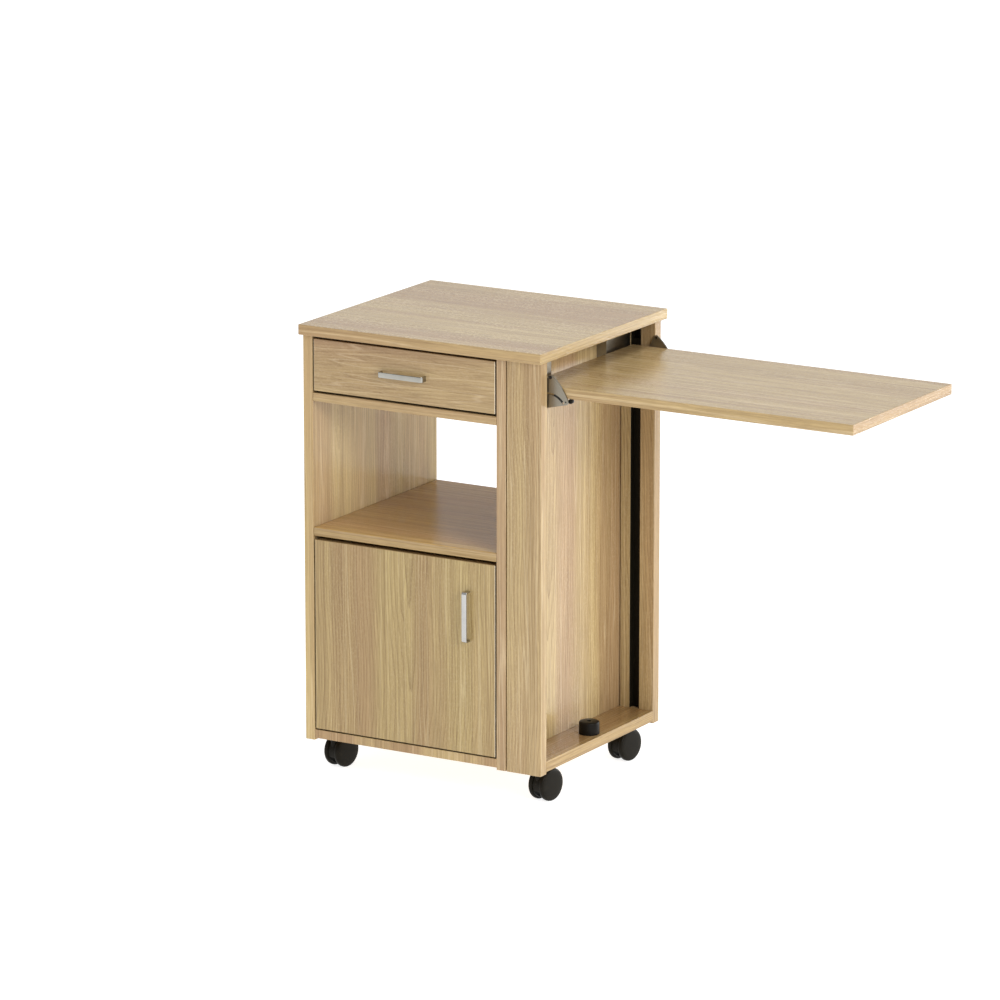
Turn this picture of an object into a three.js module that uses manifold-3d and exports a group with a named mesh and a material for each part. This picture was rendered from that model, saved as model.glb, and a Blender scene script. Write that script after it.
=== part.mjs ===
// Mobile hospital bedside cabinet with a fold-out overbed leaf.
// Millimetres, +Z up, the front faces -Y and the leaf opens towards +X.
// Inside the group "cabinet", X starts at the left edge of the top board, Y at its front edge
// and Z at the floor. The group then puts the part's origin under the middle of its box.

import * as THREE from "three";
import { mergeVertices } from "three/addons/utils/BufferGeometryUtils.js";
import Module from "manifold-3d";

const wasm = await Module();
wasm.setup();

// ---- Driving dimensions -------------------------------------------------------------------

const HEIGHT = 830;
const TOP_WIDTH = 500;
const TOP_DEPTH = 455;
const BOARD = 19; // top board, side panels, door, drawer front, leaf
const SHELF_BOARD = 16; // shelf, drawer support and bottom board
const BACK_BOARD = 8;
const BACK_INSET = 8; // the back boards stand in from the side panels' back edges

const SIDE_OVERHANG = 4;
const FRONT_OVERHANG = 10;
const BACK_OVERHANG = 17;

const PANEL_FOOT = 61.5; // height of the side panels' lower edges
const BOTTOM_UNDERSIDE = 65.5;

const RECESS_WIDTH = 72; // the leaf's pocket on the right, from its back wall to the edge
const SHADOW_GAP = 2; // between the right side panel and the pocket's front and rear panels
const POCKET_BOARD = 21;
const POCKET_FLOOR_BOARD = 20;

const FRONT_GAP = 3; // beside the door and the drawer front
const DRAWER_FRONT_BOTTOM = 710;
const DRAWER_FRONT_TOP = 805;
const DRAWER_SUPPORT_TOP = 706;
const SHELF_TOP = 458.5;
const DOOR_BOTTOM = 84;
const DOOR_TOP = 436;

const HANDLE = { length: 93, width: 10, thick: 3, standOff: 14, bend: 5 };
const DOOR_HANDLE_INSET = 56;
const DOOR_HANDLE_MIDDLE = 336.5;

const LEAF_INNER_END = 452.5;
const LEAF_OUTER_END = 1095;
const LEAF_TOP = 767;
const LEAF_SIDE_GAP = 6;

const PIVOT = { x: 456, z: 751.5 };
const BRACKET = { thick: 2.5, wallGap: 3, eye: 9.5, stud: 3.9 };
const SLOT = { width: 20, depth: 12, wall: 1.5, fit: 0.2 };

const CASTOR = { radius: 30, trail: 18, yaw: -10, insetX: 31, insetY: 48 };

// ---- Values that follow from them -----------------------------------------------------------

const left = SIDE_OVERHANG;
const right = TOP_WIDTH - SIDE_OVERHANG;
const front = FRONT_OVERHANG;
const back = TOP_DEPTH - BACK_OVERHANG;
const topUnderside = HEIGHT - BOARD;

const innerLeft = left + BOARD;
const wallFace = right - RECESS_WIDTH; // the pocket's back wall
const innerRight = wallFace - BOARD;
const pocketLeft = wallFace + SHADOW_GAP;
const pocketFront = front + POCKET_BOARD;
const pocketBack = back - POCKET_BOARD;
const pocketFloor = BOTTOM_UNDERSIDE + POCKET_FLOOR_BOARD;
const bottomTop = BOTTOM_UNDERSIDE + SHELF_BOARD;

const frontLeft = innerLeft + FRONT_GAP;
const frontRight = innerRight - FRONT_GAP;
const frontBack = front + BOARD;

const stemLeft = left + CASTOR.insetX;
const stemRight = right - CASTOR.insetX;
const stemFront = front + CASTOR.insetY;
const stemBack = back - CASTOR.insetY;

// ---- Materials --------------------------------------------------------------------------------

const look = (color, roughness, metalness = 0) =>
  new THREE.MeshStandardMaterial({ color, roughness, metalness });

const oak = look(0xc8a877, 0.45);
const backing = look(0xd6c19a, 0.6);
const satinSteel = look(0xb9bcbd, 0.3, 0.9);
const greySteel = look(0x6e6a62, 0.5, 0.6);
const zincSteel = look(0xa8abad, 0.35, 0.9);
const blackRubber = look(0x24221f, 0.7);
const blackPlastic = look(0x2c2a26, 0.5);
const greyPlastic = look(0x8b8c8c, 0.5);

// ---- Helpers ------------------------------------------------------------------------------------

const cabinet = new THREE.Group();

function add(name, geometry, material, parent = cabinet) {
  const mesh = new THREE.Mesh(geometry, material);
  mesh.name = name;
  parent.add(mesh);
  return mesh;
}

// A cuboid between the given limits along X, Y and Z.
function block([x0, x1], [y0, y1], [z0, z1]) {
  const g = new THREE.BoxGeometry(x1 - x0, y1 - y0, z1 - z0);
  return g.translate((x0 + x1) / 2, (y0 + y1) / 2, (z0 + z1) / 2);
}

// A flat board: a plain box placed by its middle.
function board(name, [x0, x1], [y0, y1], [z0, z1], material = oak) {
  const mesh = add(name, new THREE.BoxGeometry(x1 - x0, y1 - y0, z1 - z0), material);
  mesh.position.set((x0 + x1) / 2, (y0 + y1) / 2, (z0 + z1) / 2);
}

// A cylinder from start, running length along the axis "x", "y" or "z".
function rod(radius, length, axis, start, sides = 24) {
  const g = new THREE.CylinderGeometry(radius, radius, length, sides);
  g.translate(0, length / 2, 0);
  if (axis === "x") g.rotateZ(-Math.PI / 2);
  if (axis === "z") g.rotateX(Math.PI / 2);
  return g.translate(...start);
}

// A profile of [radius, height] pairs, from its low end up its outer side, turned about Z.
function turned(profile, sides) {
  const points = profile.map(([r, h]) => new THREE.Vector2(r, h));
  return new THREE.LatheGeometry(points, sides).rotateX(Math.PI / 2);
}

function toSolid(geometry) {
  const g = geometry.index ? geometry.toNonIndexed() : geometry.clone();
  g.deleteAttribute("normal");
  g.deleteAttribute("uv");
  const merged = mergeVertices(g, 1e-3);
  return new wasm.Manifold(
    new wasm.Mesh({
      numProp: 3,
      vertProperties: merged.attributes.position.array,
      triVerts: new Uint32Array(merged.index.array),
    }),
  );
}

function toGeometry(solid) {
  const mesh = solid.getMesh();
  const g = new THREE.BufferGeometry();
  g.setAttribute("position", new THREE.BufferAttribute(mesh.vertProperties, 3));
  g.setIndex(new THREE.BufferAttribute(mesh.triVerts, 1));
  return g.toNonIndexed();
}

// Joins the geometries in "joined" and cuts away those in "removed".
function shaped(joined, removed = []) {
  let solid = toSolid(joined[0]);
  for (const g of joined.slice(1)) solid = solid.add(toSolid(g));
  for (const g of removed) solid = solid.subtract(toSolid(g));
  return toGeometry(solid);
}

// ---- Carcass ----------------------------------------------------------------------------------------

function carcass() {
  const depth = [front, back];
  const inside = [innerLeft, innerRight];
  const panel = [PANEL_FOOT, topUnderside];

  board("top_board", [0, TOP_WIDTH], [0, TOP_DEPTH], [topUnderside, HEIGHT]);
  board("left_side_panel", [left, innerLeft], depth, panel);
  board("right_side_panel", [innerRight, wallFace], depth, panel);
  board("middle_shelf", inside, depth, [SHELF_TOP - SHELF_BOARD, SHELF_TOP]);
  board("drawer_support_board", inside, depth, [DRAWER_SUPPORT_TOP - SHELF_BOARD, DRAWER_SUPPORT_TOP]);

  const backPanel = [back - BACK_INSET - BACK_BOARD, back - BACK_INSET];
  board("lower_back_panel", inside, backPanel, [bottomTop, SHELF_TOP - SHELF_BOARD], backing);
  board("upper_back_panel", inside, backPanel, [DRAWER_SUPPORT_TOP, topUnderside], backing);

  const bottom = block(inside, depth, [BOTTOM_UNDERSIDE, bottomTop]);
  add("bottom_board", shaped([bottom], stemSockets(stemLeft)), oak);
}

// The blind holes that the castor stems are pushed into, along the line x.
function stemSockets(x) {
  const start = BOTTOM_UNDERSIDE - 1;
  return [stemFront, stemBack].map((y) => rod(5.3, 15.8, "z", [x, y, start]));
}

// ---- Pocket for the folded leaf, on the right ---------------------------------------------------------

// A distance measured from the pocket's inner face towards its middle; negative is into the panel.
const fromFace = (end, distance) =>
  end === "front" ? pocketFront + distance : pocketBack - distance;

const span = (end, a, b) => [fromFace(end, a), fromFace(end, b)].sort((p, q) => p - q);

function pocket() {
  const slotX = [PIVOT.x - SLOT.width / 2, PIVOT.x + SLOT.width / 2];
  for (const end of ["front", "rear"]) {
    const panel = block([pocketLeft, right], span(end, -POCKET_BOARD, 0), [PANEL_FOOT, topUnderside]);
    const groove = block(slotX, span(end, -SLOT.depth, 1), [pocketFloor, topUnderside + 1]);
    add("housing_" + end + "_panel", shaped([panel], [groove]), oak);
    add("slot_channel_" + end, slotChannel(end), blackPlastic);
    add("guide_block_" + end, guideBlock(end), blackPlastic);
  }
  const floor = block([wallFace, right], [pocketFront, pocketBack], [BOTTOM_UNDERSIDE, pocketFloor]);
  add("housing_floor", shaped([floor], stemSockets(stemRight)), oak);
  hingeHousings();
  bumper();
}

// U-shaped liner of the vertical slot, open towards the pocket.
function slotChannel(end) {
  const half = SLOT.width / 2 - SLOT.fit;
  const height = [pocketFloor + SLOT.fit, topUnderside - SLOT.fit];
  const outer = block([PIVOT.x - half, PIVOT.x + half], span(end, SLOT.fit - SLOT.depth, 0), height);
  const inner = block(
    [PIVOT.x - half + SLOT.wall, PIVOT.x + half - SLOT.wall],
    span(end, SLOT.fit + SLOT.wall - SLOT.depth, 1),
    [pocketFloor - 1, topUnderside + 1],
  );
  return shaped([outer], [inner]);
}

// The slider that sits in the channel and carries the leaf's pivot stud.
function guideBlock(end) {
  const halfWidth = 7.9;
  const halfHeight = 26;
  const body = block(
    [PIVOT.x - halfWidth, PIVOT.x + halfWidth],
    span(end, -9.8, -0.4),
    [PIVOT.z - halfHeight, PIVOT.z + halfHeight],
  );
  const bore = rod(BRACKET.stud + 0.4, 20, "y", [PIVOT.x, fromFace(end, 0) - 10, PIVOT.z]);
  return shaped([body], [bore]);
}

// Folded sheet-steel boxes in the pocket's upper corners, open at the back and below.
function hingeHousings() {
  const deep = 21;
  const sheet = 1.5;
  const low = 726;
  const lengths = { front: 102, rear: 87 };
  for (const end of ["front", "rear"]) {
    const length = lengths[end];
    const outer = block([wallFace, wallFace + deep], span(end, 0.5, length), [low, topUnderside]);
    const inner = block(
      [wallFace - 1, wallFace + deep - sheet],
      span(end, 0.5 + sheet, length - sheet),
      [low - 1, topUnderside - sheet],
    );
    add("hinge_housing_" + end, shaped([outer], [inner]), greySteel);
  }
}

// The rubber stop that the folded leaf stands over.
function bumper() {
  const profile = [[0, 0], [19, 0], [19, 21], [18.4, 22.8], [16.8, 23.5], [3, 23.5], [3, 12], [0, 12]];
  const mesh = add("leaf_bumper", turned(profile, 32), blackRubber);
  mesh.position.set(470, 228, pocketFloor);
}

// ---- Overbed leaf ---------------------------------------------------------------------------------------

function leaf() {
  const width = [pocketFront + LEAF_SIDE_GAP, pocketBack - LEAF_SIDE_GAP];
  board("leaf_board", [LEAF_INNER_END, LEAF_OUTER_END], width, [LEAF_TOP - BOARD, LEAF_TOP]);
  for (const end of ["front", "rear"]) {
    add("leaf_bracket_" + end, leafBracket(end), greySteel);
    const buffer = rod(4.3, 8, "y", [538.5, Math.min(...span(end, 5.8, 13.8)), 743.3], 20);
    add("leaf_buffer_" + end, buffer, blackRubber);
  }
}

// Steel side plate with the pivot stud, a flange under the leaf and a curved slot.
function leafBracket(end) {
  const plate = new THREE.ExtrudeGeometry(bracketOutline(), {
    depth: BRACKET.thick,
    bevelEnabled: false,
    curveSegments: 8,
  });
  const plateSpan = span(end, BRACKET.wallGap, BRACKET.wallGap + BRACKET.thick);
  plate.rotateX(Math.PI / 2).translate(0, plateSpan[1], 0);

  const flangeTop = LEAF_TOP - BOARD - 0.3;
  const flange = block(
    [470, 530],
    span(end, BRACKET.wallGap + 0.5, BRACKET.wallGap + 26),
    [flangeTop - BRACKET.thick, flangeTop],
  );
  const studStart = end === "front" ? fromFace(end, -9) : fromFace(end, BRACKET.wallGap + 1);
  const stud = rod(BRACKET.stud, 10 + BRACKET.wallGap, "y", [PIVOT.x, studStart, PIVOT.z]);
  return shaped([plate, flange, stud]);
}

// Side view of the plate, X across and Z up: eye at the pivot, apex above the leaf, tip below it.
function bracketOutline() {
  const apex = { x: 500.5, z: 783.3, r: 5 };
  const tip = { x: 531.5, z: 742.2, r: 5.3 };
  const heel = { x: 486, z: 725.8 };
  const shoulder = 485;
  const rad = THREE.MathUtils.degToRad;

  const s = new THREE.Shape();
  s.moveTo(heel.x, heel.z);
  s.lineTo(tip.x + tip.r * Math.cos(rad(-77)), tip.z + tip.r * Math.sin(rad(-77)));
  s.absarc(tip.x, tip.z, tip.r, rad(-77), rad(40), false);
  s.quadraticCurveTo(523.3, 771.9, apex.x + apex.r * Math.cos(rad(35)), apex.z + apex.r * Math.sin(rad(35)));
  s.absarc(apex.x, apex.z, apex.r, rad(35), rad(158), false);
  s.lineTo(shoulder, PIVOT.z + BRACKET.eye);
  s.lineTo(PIVOT.x, PIVOT.z + BRACKET.eye);
  s.absarc(PIVOT.x, PIVOT.z, BRACKET.eye, rad(90), rad(270), false);
  s.lineTo(heel.x, PIVOT.z - BRACKET.eye);

  s.holes.push(roundHole(apex.x, apex.z, 2.1));
  s.holes.push(roundHole(tip.x, tip.z, 1.6));
  s.holes.push(curvedSlot(496.6, 716.5, 37.6, 1.95, rad(38), rad(100)));
  return s;
}

const roundHole = (x, y, r) => new THREE.Path().absarc(x, y, r, 0, 2 * Math.PI, true);

// A slot of half-width w along the arc of radius r from angle a0 to a1, with round ends.
function curvedSlot(cx, cy, r, w, a0, a1) {
  const at = (a) => [cx + r * Math.cos(a), cy + r * Math.sin(a)];
  const p = new THREE.Path();
  p.absarc(cx, cy, r + w, a0, a1, false);
  p.absarc(...at(a1), w, a1, a1 + Math.PI, false);
  p.absarc(cx, cy, r - w, a1, a0, true);
  p.absarc(...at(a0), w, a0 + Math.PI, a0 + 2 * Math.PI, false);
  return p;
}

// ---- Handles ----------------------------------------------------------------------------------------------

// A bow bent from flat strip: legs at both ends, standing off the front.
function bowHandle() {
  const { length, thick, standOff, bend, width } = HANDLE;
  const half = length / 2;
  const quarter = Math.PI / 2;
  const s = new THREE.Shape();
  s.moveTo(-half, 0);
  s.lineTo(-half + thick, 0);
  s.absarc(-half + bend, standOff - bend, bend - thick, Math.PI, quarter, true);
  s.absarc(half - bend, standOff - bend, bend - thick, quarter, 0, true);
  s.lineTo(half - thick, 0);
  s.lineTo(half, 0);
  s.absarc(half - bend, standOff - bend, bend, 0, quarter, false);
  s.absarc(-half + bend, standOff - bend, bend, quarter, Math.PI, false);
  const g = new THREE.ExtrudeGeometry(s, { depth: width, bevelEnabled: false, curveSegments: 6 });
  return g.translate(0, 0, -width / 2);
}

function drawerHandle() {
  const mesh = add("drawer_handle", bowHandle(), satinSteel);
  mesh.rotation.x = Math.PI;
  mesh.position.set((frontLeft + frontRight) / 2, front, (DRAWER_FRONT_BOTTOM + DRAWER_FRONT_TOP) / 2);
}

function doorHandle() {
  const mesh = add("door_handle", bowHandle(), satinSteel);
  const along = new THREE.Vector3(0, 0, 1);
  const out = new THREE.Vector3(0, -1, 0);
  const across = new THREE.Vector3(1, 0, 0);
  mesh.quaternion.setFromRotationMatrix(new THREE.Matrix4().makeBasis(along, out, across));
  mesh.position.set(frontRight - DOOR_HANDLE_INSET, front, DOOR_HANDLE_MIDDLE);
}

// ---- Drawer -------------------------------------------------------------------------------------------------

function drawer() {
  const slideRoom = 13;
  const wall = 12;
  const base = 4;
  const baseBottom = 712;
  const sideTop = 786;
  const boxBack = frontBack + 360;
  const boxLeft = innerLeft + slideRoom;
  const boxRight = innerRight - slideRoom;
  const baseTop = baseBottom + base;

  board("drawer_front", [frontLeft, frontRight], [front, frontBack], [DRAWER_FRONT_BOTTOM, DRAWER_FRONT_TOP]);
  board("drawer_left_side", [boxLeft, boxLeft + wall], [frontBack, boxBack], [baseTop, sideTop], backing);
  board("drawer_right_side", [boxRight - wall, boxRight], [frontBack, boxBack], [baseTop, sideTop], backing);
  const backX = [boxLeft + wall, boxRight - wall];
  board("drawer_back", backX, [boxBack - wall, boxBack], [baseTop, sideTop], backing);
  board("drawer_bottom", [boxLeft, boxRight], [frontBack, boxBack], [baseBottom, baseTop], backing);
  drawerHandle();

  const middle = (baseTop + sideTop) / 2;
  for (const side of ["left", "right"]) {
    add("drawer_slide_outer_" + side, slideMember(side, 0, 9, 22.5, middle), zincSteel);
    add("drawer_slide_inner_" + side, slideMember(side, slideRoom, 3.5, 18, middle), zincSteel);
  }
}

// A C-shaped slide member: its web stands at "web" and its lips reach to "lips", both measured
// from the cabinet's side; half is half its height.
function slideMember(side, web, lips, half, middle) {
  const sheet = 1.5;
  const fromSide = (d) => (side === "left" ? innerLeft + d : innerRight - d);
  const inward = Math.sign(lips - web);
  const across = (a, b) => [fromSide(a), fromSide(b)].sort((p, q) => p - q);
  const y = [frontBack + 2, frontBack + 352];
  const outer = block(across(web, lips), y, [middle - half, middle + half]);
  const inner = block(
    across(web + inward * sheet, lips + inward),
    [y[0] - 1, y[1] + 1],
    [middle - half + sheet, middle + half - sheet],
  );
  return shaped([outer], [inner]);
}

// ---- Door ------------------------------------------------------------------------------------------------------

const CUP = { radius: 17.3, depth: 11.3, inset: 22, fit: 0.3, flangeHalf: 8 };
const HINGE_FROM_END = 60;

function door() {
  const heights = { lower: DOOR_BOTTOM + HINGE_FROM_END, upper: DOOR_TOP - HINGE_FROM_END };
  const cupX = frontLeft + CUP.inset;
  const panel = block([frontLeft, frontRight], [front, frontBack], [DOOR_BOTTOM, DOOR_TOP]);
  const pockets = Object.values(heights).map((z) =>
    rod(CUP.radius + CUP.fit, CUP.depth + 2, "y", [cupX, frontBack - CUP.depth - CUP.fit, z], 32),
  );
  add("door_panel", shaped([panel], pockets), oak);
  doorHandle();
  for (const [level, z] of Object.entries(heights)) {
    add("door_hinge_cup_" + level, hingeCup(cupX, z), zincSteel);
    add("door_hinge_arm_" + level, hingeArm(z), zincSteel);
  }
  const catchTop = SHELF_TOP - SHELF_BOARD - 2;
  board(
    "door_catch",
    [innerRight - 13, innerRight],
    [frontBack + 0.5, frontBack + 18.5],
    [catchTop - 40, catchTop],
    greyPlastic,
  );
}

// The cup let into the door's back, with its flange.
function hingeCup(x, z) {
  const start = frontBack - CUP.depth;
  const cup = rod(CUP.radius, CUP.depth + 0.2, "y", [x, start, z], 32);
  const flange = block([x - CUP.flangeHalf, x + 17], [frontBack + 0.1, frontBack + 1.6], [z - 26, z + 26]);
  const hollow = rod(CUP.radius - 2, CUP.depth + 2, "y", [x, start + 1.3, z], 32);
  return shaped([cup, flange], [hollow]);
}

// The arm and its mounting plate, on the cabinet's left side.
function hingeArm(z) {
  const plate = block([innerLeft, innerLeft + 2.5], [frontBack + 21, frontBack + 71], [z - 22, z + 22]);
  const arm = block([innerLeft + 2, innerLeft + 13], [frontBack + 3, frontBack + 66], [z - 7, z + 7]);
  return shaped([plate, arm]);
}

// ---- Castors ------------------------------------------------------------------------------------------------------

function castors() {
  const places = {
    front_left: [stemLeft, stemFront, 0],
    front_right: [stemRight, stemFront, 0],
    rear_left: [stemLeft, stemBack, 180],
    rear_right: [stemRight, stemBack, 180],
  };
  for (const [place, [x, y, turn]] of Object.entries(places)) {
    const castor = new THREE.Group();
    castor.position.set(x, y, 0);
    castor.rotation.z = THREE.MathUtils.degToRad(CASTOR.yaw + turn);
    cabinet.add(castor);
    const name = "castor_" + place;
    add(name + "_stem", castorStem(), zincSteel, castor);
    add(name + "_fork", castorFork(), blackPlastic, castor);
    add(name + "_axle", castorAxle(), zincSteel, castor);
    castorWheels(name, castor);
  }
}

// A steel stem with a collar: pushed into the board above, and the fork turns about its lower end.
function castorStem() {
  const profile = [[0, 37], [4, 37], [4, 63], [10, 63], [10, 65.3], [5, 65.3], [5, 79.8], [0, 79.8]];
  return turned(profile, 24);
}

// Twin-wheel fork: a web between the wheels and a boss about the stem.
function castorFork() {
  const { radius, trail } = CASTOR;
  const web = rod(radius - 3, 13, "x", [-6.5, trail, radius], 32);
  const boss = rod(7.2, 38.5, "z", [0, 0, 24]);
  const foot = block([-8, 8], [trail - 40, trail + 40], [-1, 10]);
  const stemBore = rod(4.3, 30, "z", [0, 0, 36.5]);
  const axleBore = rod(3.3, 20, "x", [-10, trail, radius], 16);
  return shaped([web, boss], [foot, stemBore, axleBore]);
}

function castorAxle() {
  return rod(3, 31, "x", [-15.5, CASTOR.trail, CASTOR.radius], 16);
}

// Two dished wheels, each closed on its outer side and turning on its own end of the axle.
function castorWheels(name, castor) {
  const profile = [
    [0, 16], [3.3, 16], [3.3, 9], [6, 9], [6, 14.5], [25, 14.5], [25, 8],
    [28.6, 8], [CASTOR.radius, 9.6], [CASTOR.radius, 14], [29, 16.4], [26.5, 17.6], [20, 18], [0, 18],
  ];
  for (const [side, turn] of [["left", -1], ["right", 1]]) {
    const g = turned(profile, 28).rotateY((turn * Math.PI) / 2);
    const mesh = add(name + "_wheel_" + side, g, blackPlastic, castor);
    mesh.position.set(0, CASTOR.trail, CASTOR.radius);
  }
}

// ---- Assembly ---------------------------------------------------------------------------------------------------------

carcass();
pocket();
leaf();
drawer();
door();
castors();

const foremost = front - HANDLE.standOff;
cabinet.position.set(-LEAF_OUTER_END / 2, -(foremost + TOP_DEPTH) / 2, 0);

const part = new THREE.Group();
part.add(cabinet);

export default part;
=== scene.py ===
"""Looks of a mobile bedside cabinet with an overbed leaf, built around its CAD frame.

Metres, in the frame of the CAD model: +Z up, the front faces -Y, the leaf opens towards +X.
"""

import math

import bmesh
import bpy
from mathutils import Matrix, Vector


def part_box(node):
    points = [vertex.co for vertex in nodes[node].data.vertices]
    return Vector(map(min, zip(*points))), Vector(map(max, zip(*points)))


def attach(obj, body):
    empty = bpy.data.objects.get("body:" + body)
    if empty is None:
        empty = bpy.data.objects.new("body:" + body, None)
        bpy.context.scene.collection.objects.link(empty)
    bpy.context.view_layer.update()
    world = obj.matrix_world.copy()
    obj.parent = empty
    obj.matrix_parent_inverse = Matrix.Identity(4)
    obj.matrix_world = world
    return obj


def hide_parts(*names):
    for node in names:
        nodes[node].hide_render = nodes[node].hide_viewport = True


MM = 0.001

# ---- Driving values --------------------------------------------------------------------------

CAMERA_PLACE = (5.2867, -9.3639, 3.1498)
CAMERA_AZIMUTH = 30.653
CAMERA_DROP = 13.703
CAMERA_LENS = 223.9

# Boards in the oak laminate: the axis its grain follows, the axis of the edge band's grain on the
# faces that would show end grain, and how far its front edges are rounded, in millimetres.
OAK_BOARDS = {
    "top_board": ("X", "Y", 1.2),
    "left_side_panel": ("Z", "Y", 0.8),
    "right_side_panel": ("Z", "Y", 0.8),
    "bottom_board": ("Y", "Z", 2.0),
    "middle_shelf": ("X", "Y", 2.4),
    "drawer_support_board": ("X", "Y", 2.4),
    "lower_back_panel": ("Z", "X", 0.4),
    "upper_back_panel": ("X", "Z", 0.4),
    "housing_front_panel": ("Z", "X", 1.0),
    "housing_rear_panel": ("Z", "X", 1.0),
    "housing_floor": ("Y", "X", 0.8),
    "leaf_board": ("X", "Y", 1.2),
    "drawer_front": ("X", "Z", 1.2),
    "door_panel": ("Z", "X", 1.2),
}
# How single boards differ: where the figure is centred across the width, how much the grain slants,
# the painted light and shade in the tint of the broad faces and of the edge bands, how strong the
# figure is, how glossy the face is, and how much painted sparkle it has. GAP_BOARDS get a painted
# highlight on their rounding and painted shade on their edges in the gaps.
HEARTS = {"door_panel": 0.015, "left_side_panel": -0.10}
SLANTS = {"drawer_front": -0.055, "door_panel": 0.012}
# Painted light and shade: each board's colour is multiplied by a tint standing for the light it gets in
# place.
LIGHT_SHADE_TINTS = {
    "middle_shelf": (1.12, 0.98, 0.68),
    "housing_floor": (0.84, 0.78, 0.70),
    "right_side_panel": (1.08, 1.10, 1.12),
    "housing_front_panel": (1.03, 1.06, 1.09),
    "housing_rear_panel": (1.03, 1.05, 1.08),
    "left_side_panel": (1.09, 1.12, 1.12),
    "drawer_front": (0.85, 0.83, 0.88),
    "door_panel": (0.91, 0.93, 0.88),
}
FIGURES = {"drawer_front": 0.5, "top_board": 0.8, "left_side_panel": 0.6}
EDGE_LIGHT_SHADE_TINTS = {"middle_shelf": (0.85, 0.82, 0.86)}
GLOSSES = {"top_board": 0.31, "middle_shelf": 0.10, "left_side_panel": 0.24, "right_side_panel": 0.55}
GAP_BOARDS = ("drawer_front", "door_panel")
# Painted sparkle: pale specks laid into the colour stand for glints off the glossy faces.
PAINTED_SPARKLES = {"top_board": 0.50, "leaf_board": 0.22}
PALE_BOARDS = ("drawer_left_side", "drawer_right_side", "drawer_back", "drawer_bottom")

WHEEL_RADIUS = 30 * MM

# The row frame's origin and the leaf brackets' flanges and outer faces, in millimetres from the
# cabinet's front left corner.
ORIGIN = (547.5, 225.5)
LEAF_FLANGE_UNDERSIDE = 745.2
BRACKET_FACES = {"front": 34.0, "rear": 414.0}


def srgb(red, green, blue):
    """Linear colour from 8-bit sRGB values, with full opacity."""
    parts = [c / 255 for c in (red, green, blue)]
    return tuple(c / 12.92 if c <= 0.04045 else ((c + 0.055) / 1.055) ** 2.4 for c in parts) + (1.0,)


OAK_YELLOW = srgb(196, 171, 121)
OAK_PINK = srgb(181, 150, 110)
OAK_DEEP = srgb(148, 119, 82)
OAK_LINE = srgb(108, 80, 48)
OAK_LIGHT = srgb(222, 200, 160)
# Painted highlight of the fronts' roundings and painted shade of their edges in the gaps.
OAK_PAINTED_GLINT = srgb(240, 228, 205)
OAK_GAP_SHADE = srgb(42, 30, 18)

# ---- Node helpers ----------------------------------------------------------------------------


def node(tree, kind, inputs=None, **settings):
    """Adds a node; an input is either a value or the socket that feeds it."""
    made = tree.nodes.new(kind)
    for name, value in settings.items():
        setattr(made, name, value)
    for key, value in (inputs or {}).items():
        if isinstance(value, bpy.types.NodeSocket):
            tree.links.new(value, made.inputs[key])
        else:
            made.inputs[key].default_value = value
    return made


def calc(tree, operation, first, second=0.0, third=0.0):
    inputs = {0: first, 1: second, 2: third}
    return node(tree, "ShaderNodeMath", inputs, operation=operation).outputs[0]


def vector_calc(tree, operation, first, second):
    return node(tree, "ShaderNodeVectorMath", {0: first, 1: second}, operation=operation).outputs[0]


def remap(tree, value, low, high, to_low=0.0, to_high=1.0):
    inputs = {"Value": value, "From Min": low, "From Max": high, "To Min": to_low, "To Max": to_high}
    return node(tree, "ShaderNodeMapRange", inputs).outputs[0]


def blend_colours(tree, factor, first, second, mode="MIX"):
    inputs = {0: factor, 6: first, 7: second}
    return node(tree, "ShaderNodeMix", inputs, data_type="RGBA", blend_type=mode).outputs[2]


def noise(tree, vector, size, detail=2.0, roughness=0.5):
    """Noise whose cells measure size = (along, across, deep) metres."""
    scaled = vector_calc(tree, "MULTIPLY", vector, tuple(1 / s for s in size))
    inputs = {"Vector": scaled, "Scale": 1.0, "Detail": detail, "Roughness": roughness}
    return node(tree, "ShaderNodeTexNoise", inputs).outputs["Fac"]


def new_material(name):
    material = bpy.data.materials.new(name)
    material.use_nodes = True
    tree = material.node_tree
    return material, tree, tree.nodes["Principled BSDF"]


def add_bump(tree, shader, height, distance, strength=1.0):
    bump = node(tree, "ShaderNodeBump", {"Height": height, "Distance": distance, "Strength": strength})
    tree.links.new(bump.outputs["Normal"], shader.inputs["Normal"])


# ---- Oak laminate ----------------------------------------------------------------------------


def grain_vector(tree, grain, band, thin):
    """Coordinates (along the grain, across it, into the board), and whether a face is a broad one.

    On faces square to the grain the edge band's own direction is used instead.
    """
    place = node(tree, "ShaderNodeTexCoord")
    point = node(tree, "ShaderNodeSeparateXYZ", {0: place.outputs["Object"]}).outputs
    normal = node(tree, "ShaderNodeSeparateXYZ", {0: place.outputs["Normal"]}).outputs

    def ordered(axis):
        others = [a for a in "XYZ" if a != axis]
        inputs = {i: point[a] for i, a in enumerate([axis] + others)}
        return node(tree, "ShaderNodeCombineXYZ", inputs).outputs[0]

    facing = calc(tree, "GREATER_THAN", calc(tree, "ABSOLUTE", normal[grain]), 0.7)
    inputs = {0: facing, 4: ordered(grain), 5: ordered(band)}
    broad = calc(tree, "GREATER_THAN", calc(tree, "ABSOLUTE", normal[thin]), 0.7)
    return node(tree, "ShaderNodeMix", inputs, data_type="VECTOR").outputs[1], broad


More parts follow.
